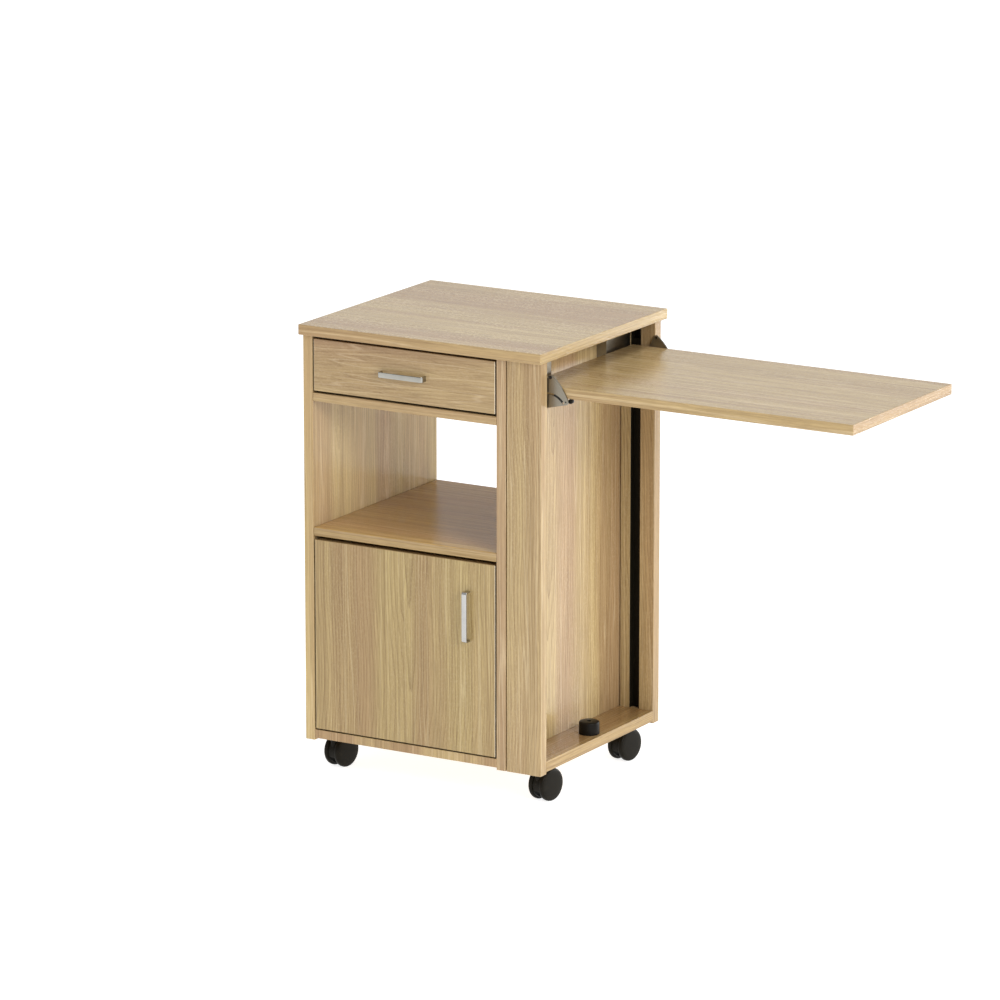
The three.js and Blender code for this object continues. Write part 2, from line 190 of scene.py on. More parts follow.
def ring_distance(tree, vector, broad, log):
    """Distance from the heart of the log, whose axis leans so that the rings run out in arches.

    Edge bands are cut straight, so there it only counts across the band.
    """
    part = node(tree, "ShaderNodeSeparateXYZ", {0: vector}).outputs
    drift = noise(tree, vector, (0.5, 4.0, 4.0), 1.0)
    wander = calc(tree, "MULTIPLY", calc(tree, "SUBTRACT", drift, 0.5), 0.10)
    leaning = calc(tree, "MULTIPLY_ADD", part[0], log["lean"], -log["heart"][1])
    slanting = calc(tree, "MULTIPLY_ADD", part[0], log["slant"], -log["heart"][0])
    side = calc(tree, "ADD", calc(tree, "ADD", part[1], slanting), wander)
    deep = calc(tree, "ADD", part[2], leaning)
    flat = node(tree, "ShaderNodeCombineXYZ", {0: side, 1: deep}).outputs[0]
    arched = node(tree, "ShaderNodeVectorMath", {0: flat}, operation="LENGTH").outputs["Value"]
    straight = calc(tree, "ADD", part[1], part[2])
    return node(tree, "ShaderNodeMix", {0: broad, 2: straight, 3: arched}, data_type="FLOAT").outputs[0]


def hairlines(tree, vector, size, width):
    """Thin wandering lines along the grain, where a smooth noise crosses its middle value."""
    away = calc(tree, "ABSOLUTE", calc(tree, "SUBTRACT", noise(tree, vector, size, 1.0), 0.5))
    return remap(tree, away, 0.0, width, 1.0, 0.0)


def edge_masks(tree, board):
    """Masks a front's rounding for a painted highlight, and its edges facing a narrow gap for painted
    shade.
    """
    place = node(tree, "ShaderNodeTexCoord")
    depth = node(tree, "ShaderNodeSeparateXYZ", {0: place.outputs["Object"]}).outputs["Y"]
    normal = node(tree, "ShaderNodeSeparateXYZ", {0: place.outputs["Normal"]}).outputs
    edge = calc(tree, "LESS_THAN", calc(tree, "ABSOLUTE", normal["Y"]), 0.7)
    behind = calc(tree, "GREATER_THAN", depth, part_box(board)[0].y + 0.8 * MM)
    rounding = remap(tree, calc(tree, "ABSOLUTE", normal["X"]), 0.2, 0.6)
    glint = calc(tree, "MULTIPLY", rounding, calc(tree, "SUBTRACT", 1.0, behind))
    # Ambient occlusion makes the painted gap shade darkest where the gap is narrow.
    occlusion = node(tree, "ShaderNodeAmbientOcclusion", {"Distance": 8 * MM}, samples=8)
    occlusion_shade = remap(tree, occlusion.outputs["AO"], 0.35, 0.75, 1.0, 0.0)
    shaded = calc(tree, "MULTIPLY", calc(tree, "MULTIPLY", behind, edge), occlusion_shade)
    return glint, shaded


def oak_material(board, grain, band, seed, log):
    """Oak laminate: growth rings of a leaning log, wider streaks, fine pores and stray hairlines."""
    material, tree, shader = new_material("oak_" + board)
    place, broad = grain_vector(tree, grain, band, log["thin"])
    vector = vector_calc(tree, "ADD", place, (seed * 1.371, seed * 0.713, seed * 0.397))

    waver = noise(tree, vector, (0.5, 0.035, 0.035), 2.0)
    shift = calc(tree, "MULTIPLY", calc(tree, "SUBTRACT", waver, 0.5), 0.012)
    distance = ring_distance(tree, place, broad, log)
    shake = noise(tree, vector, (0.25, 0.010, 0.010), 2.0)
    warped = calc(tree, "MULTIPLY_ADD", shake, 0.0040, calc(tree, "ADD", distance, shift))
    year = calc(tree, "FRACT", calc(tree, "DIVIDE", warped, 0.0062))
    late = calc(tree, "POWER", year, 4.0)
    plain = calc(tree, "MULTIPLY_ADD", broad, 0.30 * log["figure"], 0.14)

    along = node(tree, "ShaderNodeSeparateXYZ", {0: place}).outputs[0]
    slanted = calc(tree, "MULTIPLY_ADD", along, log["slant"], shift)
    offset = node(tree, "ShaderNodeCombineXYZ", {1: slanted, 2: shift}).outputs[0]
    wavy = vector_calc(tree, "ADD", vector, offset)
    zone = remap(tree, noise(tree, wavy, (2.0, 0.090, 0.090), 2.0), 0.40, 0.60)
    streak = remap(tree, noise(tree, wavy, (1.2, 0.016, 0.016), 2.0, 0.6), 0.38, 0.64)
    line = remap(tree, noise(tree, wavy, (0.50, 0.0024, 0.0024), 2.0, 0.65), 0.43, 0.57)
    fibre = remap(tree, noise(tree, wavy, (0.030, 0.0012, 0.0012), 2.0, 0.6), 0.42, 0.62)
    dark_hair = hairlines(tree, wavy, (0.9, 0.011, 0.011), 0.035)
    aside = vector_calc(tree, "ADD", wavy, (3.1, 0.7, 0.3))
    light_hair = hairlines(tree, aside, (1.2, 0.016, 0.016), 0.025)

    colour = blend_colours(tree, zone, OAK_YELLOW, OAK_PINK)
    colour = blend_colours(tree, calc(tree, "MULTIPLY", streak, 0.36), colour, OAK_DEEP)
    colour = blend_colours(tree, calc(tree, "MULTIPLY", late, plain), colour, OAK_LINE)
    colour = blend_colours(tree, calc(tree, "MULTIPLY", line, 0.18 * log["figure"]), colour, OAK_LINE)
    colour = blend_colours(tree, calc(tree, "MULTIPLY", dark_hair, 0.26), colour, OAK_LINE)
    colour = blend_colours(tree, calc(tree, "MULTIPLY", light_hair, 0.34), colour, OAK_LIGHT)
    colour = blend_colours(tree, calc(tree, "MULTIPLY", fibre, 0.22 * log["figure"]), colour, OAK_LINE)
    # The speckle bumps the fine pores; where it peaks in patches on broad faces, pale colour is painted
    # sparkle for glints off the gloss.
    speckle = noise(tree, vector, (0.0060, 0.0028, 0.0028), 1.0, 0.6)
    patch = remap(tree, noise(tree, wavy, (0.30, 0.045, 0.045), 2.0), 0.38, 0.62, 0.25, 1.0)
    painted_sparkle = calc(tree, "MULTIPLY", remap(tree, speckle, 0.52, 0.60), patch)
    painted_sparkle = calc(tree, "MULTIPLY", painted_sparkle, broad)
    colour = blend_colours(tree, calc(tree, "MULTIPLY", painted_sparkle, log["painted_sparkle"]), colour, OAK_LIGHT)
    # Painted light and shade: the tint for the light the board gets in place, its edge bands apart.
    light_shade_tint = blend_colours(tree, broad, log["edge_light_shade_tint"] + (1.0,), log["light_shade_tint"] + (1.0,))
    colour = blend_colours(tree, 1.0, colour, light_shade_tint, "MULTIPLY")
    if board in GAP_BOARDS:
        # Painted highlight on the rounding and painted shade on the edges inside the gaps.
        glint, shaded = edge_masks(tree, board)
        colour = blend_colours(tree, calc(tree, "MULTIPLY", glint, 0.8), colour, OAK_PAINTED_GLINT)
        colour = blend_colours(tree, calc(tree, "MULTIPLY", shaded, 0.92), colour, OAK_GAP_SHADE)
    tree.links.new(colour, shader.inputs["Base Color"])

    shader.inputs["Roughness"].default_value = 0.15
    shader.inputs["Specular IOR Level"].default_value = log["gloss"]
    grooves = calc(tree, "MULTIPLY", fibre, -0.10)
    add_bump(tree, shader, calc(tree, "ADD", speckle, grooves), 0.34 * MM)
    return material


def log_of(name, grain, seed):
    """The board's thin axis, the log it is cut from and its looks.

    The log's heart lies behind the broad face and off its middle; a narrow board is cut well away
    from it.
    """
    low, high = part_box(name)
    size, middle = high - low, (low + high) / 2
    across = [i for i, axis in enumerate("XYZ") if axis != grain]
    thin = min(across, key=lambda i: size[i])
    wide = max(across, key=lambda i: size[i])
    share = (seed * 0.618) % 1.0 - 0.5
    aside = share * 0.7 * size[wide] if size[wide] > 0.15 else 0.16
    aside = HEARTS.get(name, aside)
    heart = [middle[i] + (0.030 if i == thin else aside) for i in across]
    light_shade_tint = LIGHT_SHADE_TINTS.get(name, (1.0, 1.0, 1.0))
    return {
        "thin": "XYZ"[thin],
        "heart": heart,
        "lean": 0.045 if seed % 2 else -0.05,
        "slant": SLANTS.get(name, 0.01),
        "light_shade_tint": light_shade_tint,
        "edge_light_shade_tint": EDGE_LIGHT_SHADE_TINTS.get(name, light_shade_tint),
        "figure": FIGURES.get(name, 1.0),
        "gloss": GLOSSES.get(name, 0.36),
        "painted_sparkle": PAINTED_SPARKLES.get(name, 0.10),
    }


# ---- Other finishes --------------------------------------------------------------------------


def object_point(tree):
    return node(tree, "ShaderNodeTexCoord").outputs["Object"]


def pale_board_material():
    """Pale melamine of the drawer's box, with a fine embossed grain along its depth."""
    material, tree, shader = new_material("pale_board")
    point = object_point(tree)
    cloud = remap(tree, noise(tree, point, (0.06, 0.5, 0.06), 2.0), 0.3, 0.7)
    colour = blend_colours(tree, cloud, srgb(226, 214, 190), srgb(214, 199, 172))
    line = remap(tree, noise(tree, point, (0.0014, 0.05, 0.0014), 2.0), 0.35, 0.7)
    colour = blend_colours(tree, calc(tree, "MULTIPLY", line, 0.25), colour, srgb(190, 170, 138))
    tree.links.new(colour, shader.inputs["Base Color"])
    shader.inputs["Roughness"].default_value = 0.5
    add_bump(tree, shader, line, 0.05 * MM)
    return material


def metal_material(name, colour, roughness, brush, scratch):
    """Metal with brushing: brush gives the scratches' size along X, Y and Z."""
    material, tree, shader = new_material(name)
    point = object_point(tree)
    fine = noise(tree, point, brush, 2.0, 0.6)
    cloud = noise(tree, point, (0.03, 0.03, 0.03), 2.0)
    shader.inputs["Metallic"].default_value = 1.0
    shade = calc(tree, "ADD", calc(tree, "MULTIPLY", fine, 0.5), calc(tree, "MULTIPLY", cloud, 0.5))
    darker = tuple(c * 0.82 for c in colour[:3]) + (1.0,)
    tone = blend_colours(tree, remap(tree, shade, 0.35, 0.65), colour, darker)
    tree.links.new(tone, shader.inputs["Base Color"])
    rough = remap(tree, fine, 0.3, 0.7, roughness * 0.8, roughness * 1.25)
    tree.links.new(rough, shader.inputs["Roughness"])
    add_bump(tree, shader, fine, scratch)
    return material


def moulded_material(name, colour, roughness, pebble, depth):
    """Plastic or rubber with a fine pebbled surface and faint handling marks."""
    material, tree, shader = new_material(name)
    point = object_point(tree)
    grain = noise(tree, point, (pebble, pebble, pebble), 2.0)
    wear = noise(tree, point, (0.012, 0.012, 0.012), 3.0, 0.65)
    lighter = tuple(min(1.0, c * 1.35) for c in colour[:3]) + (1.0,)
    tone = blend_colours(tree, remap(tree, wear, 0.45, 0.75), colour, lighter)
    tree.links.new(tone, shader.inputs["Base Color"])
    rough = remap(tree, wear, 0.3, 0.7, roughness * 0.9, roughness * 1.15)
    tree.links.new(rough, shader.inputs["Roughness"])
    shader.inputs["Specular IOR Level"].default_value = 0.10
    add_bump(tree, shader, grain, depth)
    return material


def make_finishes():
    fine = 0.25 * MM
    return {
        "pale_board": pale_board_material(),
        # Painted shade: the drawer handle's steel is darker than the door handle's, standing for the
        # dimmer reflection its lengthwise brushing catches.
        "satin_steel_x_shaded": metal_material(
            "satin_steel_x_shaded", srgb(172, 170, 162), 0.17, (20 * MM, fine, fine), 0.004 * MM
        ),
        "satin_steel_z": metal_material(
            "satin_steel_z", srgb(190, 189, 186), 0.19, (fine, fine, 20 * MM), 0.004 * MM
        ),
        "grey_steel": metal_material(
            "grey_steel", srgb(150, 144, 131), 0.34, (0.6 * MM, 0.6 * MM, 0.6 * MM), 0.02 * MM
        ),
        "zinc_steel": metal_material(
            "zinc_steel", srgb(190, 192, 196), 0.32, (1.5 * MM, 1.5 * MM, 1.5 * MM), 0.01 * MM
        ),
        "black_rubber": moulded_material("black_rubber", srgb(24, 21, 17), 0.34, 0.5 * MM, 0.04 * MM),
        "black_plastic": moulded_material("black_plastic", srgb(23, 20, 13), 0.36, 0.35 * MM, 0.02 * MM),
        "grey_plastic": moulded_material("grey_plastic", srgb(150, 151, 152), 0.45, 0.4 * MM, 0.02 * MM),
        "black_steel": metal_material(
            "black_steel", srgb(58, 56, 54), 0.35, (0.5 * MM, 0.5 * MM, 0.5 * MM), 0.02 * MM
        ),
    }


# ---- Mesh helpers ----------------------------------------------------------------------------


def paint(obj, material):
    obj.data.materials.clear()
    obj.data.materials.append(material)


def round_edges(obj, radius, segments=3, angle=30):
    """Rounds the edges of a CAD node by modifiers, so that its own mesh stays as packed."""
    obj.modifiers.new("weld", "WELD").merge_threshold = 0.01 * MM
    flat = obj.modifiers.new("flat", "DECIMATE")
    flat.decimate_type = "DISSOLVE"
    flat.angle_limit = math.radians(0.5)
    bevel = obj.modifiers.new("bevel", "BEVEL")
    bevel.width = radius
    bevel.segments = segments
    bevel.limit_method = "ANGLE"
    bevel.angle_limit = math.radians(angle)
    bevel.harden_normals = True


def coated(mesh, material):
    mesh.materials.append(material)
    return mesh


def new_piece(name, mesh, body, place=None):
    """An object of its own that rides on a CAD body; place is its matrix in the row frame."""
    obj = bpy.data.objects.new(name, mesh)
    bpy.context.scene.collection.objects.link(obj)
    if place is not None:
        obj.matrix_world = place
    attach(obj, body)
    return obj


def mesh_from(bm, name, smooth_below=None):
    """Turns a bmesh into a mesh, shaded smooth where faces meet at less than the given degrees."""
    bmesh.ops.recalc_face_normals(bm, faces=bm.faces)
    for face in bm.faces:
        face.smooth = smooth_below is not None
    mesh = bpy.data.meshes.new(name)
    bm.to_mesh(mesh)
    bm.free()
    if smooth_below is not None:
        mark_sharp(mesh, smooth_below)
    return mesh


def mark_sharp(mesh, degrees):
    mesh.set_sharp_from_angle(angle=math.radians(degrees))


def join_rings(bm, rings):
    """Skins a row of equal rings of vertices and closes both ends."""
    for a, b in zip(rings, rings[1:]):
        for k in range(len(a)):
            n = (k + 1) % len(a)
            bm.faces.new((a[k], a[n], b[n], b[k]))
    bm.faces.new(rings[0][::-1])
    bm.faces.new(rings[-1])


def lathe(name, profile, steps=64):
    """A closed mesh: the profile of (radius, height) pairs turned about Z.

    The profile starts and ends on the axis, or closes on itself.
    """
    bm = bmesh.new()
    on_axis = profile[0][0] < 1e-9
    rings = []
    for radius, height in profile:
        if radius < 1e-9:
            rings.append([bm.verts.new((0, 0, height))])
            continue
        turn = [2 * math.pi * i / steps for i in range(steps)]
        rings.append([bm.verts.new((radius * math.cos(t), radius * math.sin(t), height)) for t in turn])
    pairs = list(zip(rings, rings[1:]))
    if not on_axis:
        pairs.append((rings[-1], rings[0]))
    for low, high in pairs:
        for i in range(steps):
            j = (i + 1) % steps
            corners = [low[i % len(low)], low[j % len(low)], high[j % len(high)], high[i % len(high)]]
            unique = list(dict.fromkeys(corners))
            if len(unique) > 2:
                bm.faces.new(unique)
    return mesh_from(bm, name, 35)


def prism(name, outline, low, high):
    """A closed mesh: the flat outline of (x, y) points raised from z = low to z = high."""
    bm = bmesh.new()
    rings = [[bm.verts.new((x, y, height)) for x, y in outline] for height in (low, high)]
    join_rings(bm, rings)
    return mesh_from(bm, name)


def baked_mesh(obj, name):
    """The object's mesh with its modifiers applied; the object itself is removed."""
    graph = bpy.context.evaluated_depsgraph_get()
    mesh = bpy.data.meshes.new_from_object(obj.evaluated_get(graph))
    mesh.name = name
    bpy.data.objects.remove(obj)
    return mesh


def cross_head(name, radius, height):
    """A raised screw head with a cross recess, its underside at z = 0."""
    dome = [(0.0, 0.0), (radius * 0.97, 0.0), (radius, height * 0.18)]
    for i in range(1, 7):
        t = i / 6 * math.pi / 2
        dome.append((radius * math.cos(t), height * (0.18 + 0.82 * math.sin(t))))
    dome[-1] = (0.0, height)
    head = bpy.data.objects.new(name, lathe(name, dome, 32))
    bpy.context.scene.collection.objects.link(head)
    arm, half = radius * 0.58, radius * 0.14
    cross = [
        (arm, -half), (arm, half), (half, half), (half, arm), (-half, arm), (-half, half),
        (-arm, half), (-arm, -half), (-half, -half), (-half, -arm), (half, -arm), (half, -half),
    ]
    cutter_mesh = prism(name + "_cut", cross, height * 0.45, height * 1.5)
    cutter = bpy.data.objects.new(name + "_cut", cutter_mesh)
    bpy.context.scene.collection.objects.link(cutter)
    cut = head.modifiers.new("cut", "BOOLEAN")
    cut.object = cutter
    cut.operation = "DIFFERENCE"
    mesh = baked_mesh(head, name)
    bpy.data.objects.remove(cutter)
    mark_sharp(mesh, 30)
    return mesh


def aimed(point, direction):
    """Matrix that stands a piece at point with its own +Z along direction."""
    turn = Vector(direction).to_track_quat("Z", "Y")
    return Matrix.LocRotScale(Vector(point), turn, None)


# ---- Carried-over CAD nodes ------------------------------------------------------------------


def dress_boards(nodes, finishes):
    for seed, (name, (grain, band, radius)) in enumerate(OAK_BOARDS.items()):
        log = log_of(name, grain, seed)
        paint(nodes[name], oak_material(name, grain, band, seed + 1, log))
        round_edges(nodes[name], radius * MM)
    for name in PALE_BOARDS:
        paint(nodes[name], finishes["pale_board"])
        round_edges(nodes[name], 0.5 * MM)


def dress_metal(nodes, finishes):
    looks = {
        "hinge_housing": ("grey_steel", 1.4),
        "leaf_bracket": ("grey_steel", 0.3),
        "drawer_slide": ("zinc_steel", 0.4),
        "door_hinge": ("zinc_steel", 0.4),
        "slot_channel": ("black_plastic", 0.3),
        "guide_block": ("black_plastic", 0.8),
        "door_catch": ("grey_plastic", 1.0),
    }
    for name, obj in nodes.items():
        for start, (finish, radius) in looks.items():
            if name.startswith(start):
                paint(obj, finishes[finish])
                round_edges(obj, radius * MM, 2)


# ---- Castors ---------------------------------------------------------------------------------


def wheel_mesh():
    """One wheel of a twin castor about Z: closed and slightly domed outside (z up), dished inside."""
    profile = [
        (0.0, 16.2), (3.2, 16.2), (3.2, 9.2), (5.8, 9.2), (5.8, 14.4), (24.6, 14.4), (25.2, 8.6),
        (26.0, 8.1), (28.2, 8.1), (29.4, 8.9), (30.0, 10.2), (30.0, 13.2), (29.7, 14.6), (29.0, 15.8),
        (27.8, 16.7), (26.0, 17.2), (20.0, 17.6), (12.0, 17.9), (0.0, 18.0),
    ]
    return lathe("wheel", [(r * MM, h * MM) for r, h in profile], 96)


def fork_mesh():
    """Body between the wheels: a web with a rim over its upper half, and a bush round the axle.

    Its own frame has the stem on Z and the axle along X.
    """
    bm = bmesh.new()
    trail, middle = 18.0, 30.0
    steps = 40

    def strip(inner, outer, half, start, end):
        """Closed solid sector between two radii, about the axle."""
        rings = []
        for i in range(steps + 1):
            t = math.radians(start + (end - start) * i / steps)
            c, s = math.cos(t), math.sin(t)
            corners = [(-half, inner), (half, inner), (half, outer), (-half, outer)]
            points = [(x, trail + r * c, middle + r * s) for x, r in corners]
            rings.append([bm.verts.new(Vector(point) * MM) for point in points])
        join_rings(bm, rings)

    strip(3.6, 24.6, 6.0, -28, 208)
    strip(24.8, 27.0, 7.4, -22, 202)
    strip(3.4, 6.6, 7.6, 0, 359.5)
    return mesh_from(bm, "fork")


def boss_mesh():
    """Sleeve round the castor's stem, about Z."""
    profile = [(4.5, 30), (7.0, 30), (7.2, 31), (7.2, 60.5), (6.6, 62), (4.5, 62)]
    return lathe("boss", [(r * MM, h * MM) for r, h in profile], 48)


def dress_castors(nodes, finishes):
    meshes = (wheel_mesh(), fork_mesh(), boss_mesh())
    wheel, fork, boss = [coated(mesh, finishes["black_plastic"]) for mesh in meshes]
    for end in ("front", "rear"):
        for side in ("left", "right"):
            name = "castor_" + end + "_" + side
            stem_low, stem_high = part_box(name + "_stem")
            stem = (stem_low + stem_high) / 2
            axle_low, axle_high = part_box(name + "_axle")
            hub = (axle_low + axle_high) / 2
            yaw = math.atan2(hub.y - stem.y, hub.x - stem.x) - math.pi / 2
            place = Matrix.Translation((stem.x, stem.y, 0)) @ Matrix.Rotation(yaw, 4, "Z")
            body = new_piece(name + "_body", fork, name, place)
            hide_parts(name + "_fork")
            new_piece(name + "_boss", boss, name, place)
            for which, turn in (("left", -1), ("right", 1)):
                aim = Matrix.Rotation(turn * math.pi / 2, 4, "Y")
                centre = Matrix.Translation((0, 18 * MM, WHEEL_RADIUS))
                part = name + "_wheel_" + which
                hub_place = place @ centre @ aim
                disc = new_piece(part + "_disc", wheel, part, hub_place)
                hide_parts(part)
            for part in ("_stem", "_axle"):
                paint(nodes[name + part], finishes["zinc_steel"])
                round_edges(nodes[name + part], 0.3 * MM, 2, 50)


# ---- Bumper, buffers, rivets and screws ------------------------------------------------------


def spot(x, y, z):
    """A point given in millimetres from the cabinet's front left corner, in the row frame."""
    return Vector((x - ORIGIN[0], y - ORIGIN[1], z)) * MM


def rubber_bumper(finishes, screw):
    """The leaf's rest on the housing floor, with a sunk screw."""
    low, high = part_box("leaf_bumper")
    x, y = (low.x + high.x) / 2, (low.y + high.y) / 2
    tall = (high.z - low.z) / MM
    profile = [
        (0.0, 0.0), (18.4, 0.0), (18.9, 0.6), (19.0, 1.6), (18.6, tall - 3.2),
        (18.2, tall - 1.6), (17.3, tall - 0.5), (16.0, tall), (4.4, tall), (3.6, tall - 0.6),
        (3.2, tall - 1.6), (3.0, 12.0), (0.0, 12.0),
    ]
    mesh = lathe("bumper", [(r * MM, h * MM) for r, h in profile], 80)
    place = Matrix.Translation((x, y, low.z))
    coated(mesh, finishes["black_rubber"])
    piece = new_piece("bumper_rubber", mesh, "cabinet", place)
    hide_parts("leaf_bumper")
    seat = aimed((x, y, low.z + 12 * MM), (0, 0, 1))
    new_piece("bumper_screw", screw, "cabinet", seat)


def buffer_mesh():
    """Small rubber knob about Z with a countersunk middle."""
    profile = [
        (0.0, 0.0), (3.4, 0.0), (4.1, 0.5), (4.3, 1.4), (4.3, 5.4), (4.1, 6.6), (3.5, 7.5), (2.7, 7.8),
        (2.0, 7.0), (1.7, 6.2), (0.0, 6.2),
    ]
    return lathe("buffer", [(r * MM, h * MM) for r, h in profile], 48)


def eyelet_mesh():
    """Rolled rim of a hollow rivet, about Z."""
    profile = [(1.3, 0.0), (3.3, 0.0), (3.4, 0.25), (3.0, 0.7), (2.2, 0.85), (1.6, 0.6), (1.3, 0.2)]
    return lathe("eyelet", [(r * MM, h * MM) for r, h in profile], 40)


def hole_shade_plug_mesh():
    """Pin end that fills a bracket's hole, about Z; its black is painted shade standing for the dark
    hole.
    """
    profile = [(0.0, -2.2), (1.25, -2.2), (1.25, 0.1), (1.1, 0.25), (0.0, 0.25)]
    return lathe("hole_shade_plug", [(r * MM, h * MM) for r, h in profile], 32)


def slider_mesh(low, high):
    """Curved link in a bracket's slot, between two depths along Y, placed in the row frame."""
    bm = bmesh.new()
    centre_x, centre_z, radius, half, steps = 496.6, 716.5, 37.6, 1.6, 18
    rings = []
    for i in range(steps + 1):
        t = math.radians(41 + 31 * i / steps)
        inner, outer = radius - half, radius + half
        corners = [(inner, low), (outer, low), (outer, high), (inner, high)]
        ring = []
        for r, y in corners:
            point = spot(centre_x + r * math.cos(t), y, centre_z + r * math.sin(t))
            ring.append(bm.verts.new(point))
        rings.append(ring)
    join_rings(bm, rings)
    return mesh_from(bm, "slider")


def dress_brackets(finishes, screw, small_screw):
    """Buffer, rivet, black pin ends as painted shade of the holes, slot link and flange screws of each
    leaf bracket.
    """
    knob = coated(buffer_mesh(), finishes["black_rubber"])
    rim = coated(eyelet_mesh(), finishes["black_steel"])
    hole_shade_plug = coated(hole_shade_plug_mesh(), finishes["black_steel"])
    for end, outward in (("front", -1), ("rear", 1)):
        low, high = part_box("leaf_buffer_" + end)
        x, z = (low.x + high.x) / 2, (low.z + high.z) / 2
        inner = high.y if outward < 0 else low.y
        place = aimed((x, inner, z), (0, outward, 0))
        piece = new_piece("buffer_knob_" + end, knob, "leaf", place)
        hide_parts("leaf_buffer_" + end)
        head = aimed((x, inner + outward * 6.2 * MM, z), (0, outward, 0))
        new_piece("buffer_screw_" + end, small_screw, "leaf", head)

        depth = BRACKET_FACES[end]
        face = spot(0, depth, 0).y
        apex = spot(500.5, 0, 783.3)
        seat = aimed((apex.x, face, apex.z), (0, outward, 0))
        new_piece("bracket_rivet_" + end, rim, "leaf", seat)
        # Black pin ends: painted shade of the bracket's holes.
        new_piece("rivet_hole_shade_" + end, hole_shade_plug, "leaf", seat)
        tip = spot(531.5, 0, 742.2)
        seat = aimed((tip.x, face, tip.z), (0, outward, 0))
        new_piece("tip_hole_shade_" + end, hole_shade_plug, "leaf", seat)
        ends = sorted((depth + outward * 0.8, depth - outward * 3.3))
        slider = coated(slider_mesh(*ends), finishes["black_steel"])
        new_piece("slot_link_" + end, slider, "leaf")

        for k, along in enumerate((480, 500, 520)):
            across = face - outward * 15 * MM
            under = spot(along, 0, LEAF_FLANGE_UNDERSIDE)
            seat = aimed((under.x, across, under.z), (0, 0, -1))
            new_piece("flange_screw_" + end + "_" + str(k), screw, "leaf", seat)


def handle_mesh():
    """Bow handle of flat bar with round bends: length along X, feet at y = 0, out along -Y."""
    half, out, bend, thick, wide, rounding = 46.5, 14.0, 5.0, 3.0, 10.0, 0.8
    radius = bend - thick / 2
    path = [((half - thick / 2, 0.0), 0.0)]
    for i in range(13):
        t = math.radians(90 * i / 12)
        place = (half - bend + radius * math.cos(t), -(out - bend) - radius * math.sin(t))
        path.append((place, t))
    path += [((-x, y), math.pi - t) for (x, y), t in reversed(path)]
    section = []
    for corner in range(4):
        x = (thick / 2 - rounding) * (1 if corner in (0, 3) else -1)
        z = (wide / 2 - rounding) * (1 if corner < 2 else -1)
        for i in range(5):
            t = math.radians(90 * corner + 22.5 * i)
            section.append((x + rounding * math.cos(t), z + rounding * math.sin(t)))
    bm = bmesh.new()
    rings = []
    for (x, y), t in path:
        ring = [(x + n * math.cos(t), y - n * math.sin(t), z) for n, z in section]
        rings.append([bm.verts.new(Vector(point) * MM) for point in ring])
    join_rings(bm, rings)
    return mesh_from(bm, "handle", 40)


def dress_handles(finishes):
    """The bow handles with their true bends; the drawer's lies flat, the door's stands up."""
    for handle, body, turn, finish in (
        # The drawer handle's steel carries painted shade against the door handle's.
        ("drawer_handle", "drawer", 0.0, "satin_steel_x_shaded"),
        ("door_handle", "door", math.pi / 2, "satin_steel_z"),
    ):
        low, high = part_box(handle)
        middle = (low + high) / 2
        place = Matrix.Translation((middle.x, high.y, middle.z)) @ Matrix.Rotation(turn, 4, "Y")
        mesh = coated(handle_mesh(), finishes[finish])
        piece = new_piece(handle + "_bar", mesh, body, place)
        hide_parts(handle)


def dress_handle_screws(screw):
    """Two screws through the front behind each handle."""
    for handle, board, body, axis in (
        ("drawer_handle", "drawer_front", "drawer", 0),
        ("door_handle", "door_panel", "door", 2),
    ):
        low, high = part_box(handle)
        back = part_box(board)[1].y
        middle = (low + high) / 2
        for which, place in (("low", low[axis] + 5 * MM), ("high", high[axis] - 5 * MM)):
            point = Vector((middle.x, back, middle.z))
            point[axis] = place
            seat = aimed(point, (0, 1, 0))
            new_piece(handle + "_screw_" + which, screw, body, seat)


def dress_door(finishes, screw):
    """Hinge screws and the catch's strike plate."""
    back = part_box("door_panel")[1].y
    for end in ("lower", "upper"):
        low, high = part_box("door_hinge_arm_" + end)
        plate = spot(25.5, 0, 0).x
        middle = (low.z + high.z) / 2
        for k, offset in enumerate((-16 * MM, 16 * MM)):
            seat = aimed((plate, high.y - 14 * MM, middle + offset), (1, 0, 0))
            new_piece("hinge_screw_" + end + "_" + str(k), screw, "cabinet", seat)
    low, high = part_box("door_catch")
    strike = [(-5, -14), (5, -14), (5, 14), (-5, 14)]
    mesh = prism("strike", [(x * MM, y * MM) for x, y in strike], 0.0, 0.4 * MM)
    middle = (low + high) / 2
    face_back = Matrix.Rotation(-math.pi / 2, 4, "X")
    seat = Matrix.Translation((middle.x - 2 * MM, back, middle.z)) @ face_back
    new_piece("strike_plate", coated(mesh, finishes["zinc_steel"]), "door", seat)


# ---- Studio ----------------------------------------------------------------------------------


def make_camera():
    a, e = math.radians(CAMERA_AZIMUTH), math.radians(CAMERA_DROP)
    forward = Vector((-math.sin(a) * math.cos(e), math.cos(a) * math.cos(e), -math.sin(e)))
    data = bpy.data.cameras.new("camera")
    data.lens = CAMERA_LENS
    data.sensor_width = 36.0
    data.clip_end = 200.0
    camera = bpy.data.objects.new("camera", data)
    camera.location = CAMERA_PLACE
    camera.rotation_mode = "QUATERNION"
    camera.rotation_quaternion = forward.to_track_quat("-Z", "Y")
    bpy.context.scene.collection.objects.link(camera)
    bpy.context.scene.camera = camera


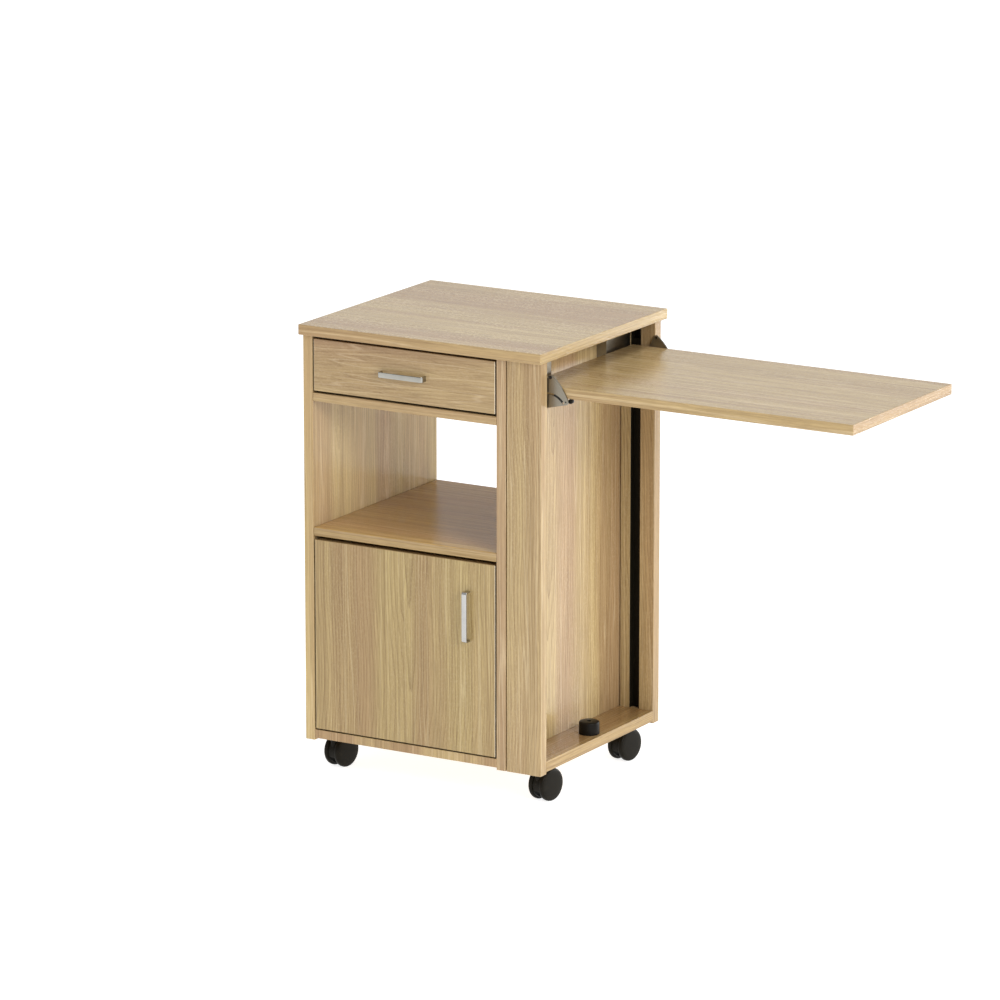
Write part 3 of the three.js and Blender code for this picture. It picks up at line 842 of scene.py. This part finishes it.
def make_floor():
    mesh = bpy.data.meshes.new("floor")
    reach = 60.0
    corners = [(-reach, -reach, 0), (reach, -reach, 0), (reach, reach, 0), (-reach, reach, 0)]
    mesh.from_pydata(corners, [], [(0, 1, 2, 3)])
    material, tree, shader = new_material("floor")
    shader.inputs["Base Color"].default_value = (0.6, 0.6, 0.6, 1.0)
    shader.inputs["Roughness"].default_value = 0.9
    shader.inputs["Emission Color"].default_value = (1.0, 1.0, 1.0, 1.0)
    shader.inputs["Emission Strength"].default_value = 0.82
    mesh.materials.append(material)
    floor = bpy.data.objects.new("floor", mesh)
    bpy.context.scene.collection.objects.link(floor)


def add_softbox(name, place, target, size, power):
    data = bpy.data.lights.new(name, "AREA")
    data.shape = "RECTANGLE"
    data.size, data.size_y = size
    data.energy = power
    light = bpy.data.objects.new(name, data)
    light.location = place
    light.rotation_mode = "QUATERNION"
    light.rotation_quaternion = (Vector(target) - Vector(place)).to_track_quat("-Z", "Y")
    bpy.context.scene.collection.objects.link(light)


def make_studio():
    world = bpy.data.worlds.new("studio")
    world.use_nodes = True
    background = world.node_tree.nodes["Background"]
    background.inputs["Color"].default_value = (1.0, 1.0, 1.0, 1.0)
    background.inputs["Strength"].default_value = 0.55
    bpy.context.scene.world = world
    bpy.context.scene.view_settings.view_transform = "Standard"
    add_softbox("key_box", (4.7, -2.8, 2.8), (0.0, 0.0, 0.5), (2.0, 2.0), 160)
    add_softbox("right_box", (2.8, 4.0, 0.75), (0.0, 0.1, 0.4), (3.4, 1.4), 100)
    add_softbox("back_box", (-3.0, 5.0, 2.9), (0.0, 0.0, 0.8), (3.0, 1.6), 10)
    add_softbox("top_box", (0.6, -0.6, 4.0), (0.1, 0.0, 0.8), (2.0, 2.0), 50)


# ---- The scene -------------------------------------------------------------------------------

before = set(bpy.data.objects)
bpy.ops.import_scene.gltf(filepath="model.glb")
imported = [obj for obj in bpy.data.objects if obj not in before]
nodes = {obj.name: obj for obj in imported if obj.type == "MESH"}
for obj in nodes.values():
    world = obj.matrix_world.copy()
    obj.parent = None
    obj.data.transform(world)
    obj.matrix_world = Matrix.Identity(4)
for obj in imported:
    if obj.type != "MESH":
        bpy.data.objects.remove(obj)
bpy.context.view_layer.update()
finishes = make_finishes()

dress_boards(nodes, finishes)
dress_metal(nodes, finishes)
dress_castors(nodes, finishes)
screw = coated(cross_head("screw_head", 2.6 * MM, 1.3 * MM), finishes["zinc_steel"])
small_head = cross_head("small_screw_head", 1.6 * MM, 0.7 * MM)
small_screw = coated(small_head, finishes["black_steel"])
rubber_bumper(finishes, screw)
dress_brackets(finishes, screw, small_screw)
dress_handles(finishes)
dress_handle_screws(screw)
dress_door(finishes, screw)

make_camera()
make_floor()
make_studio()
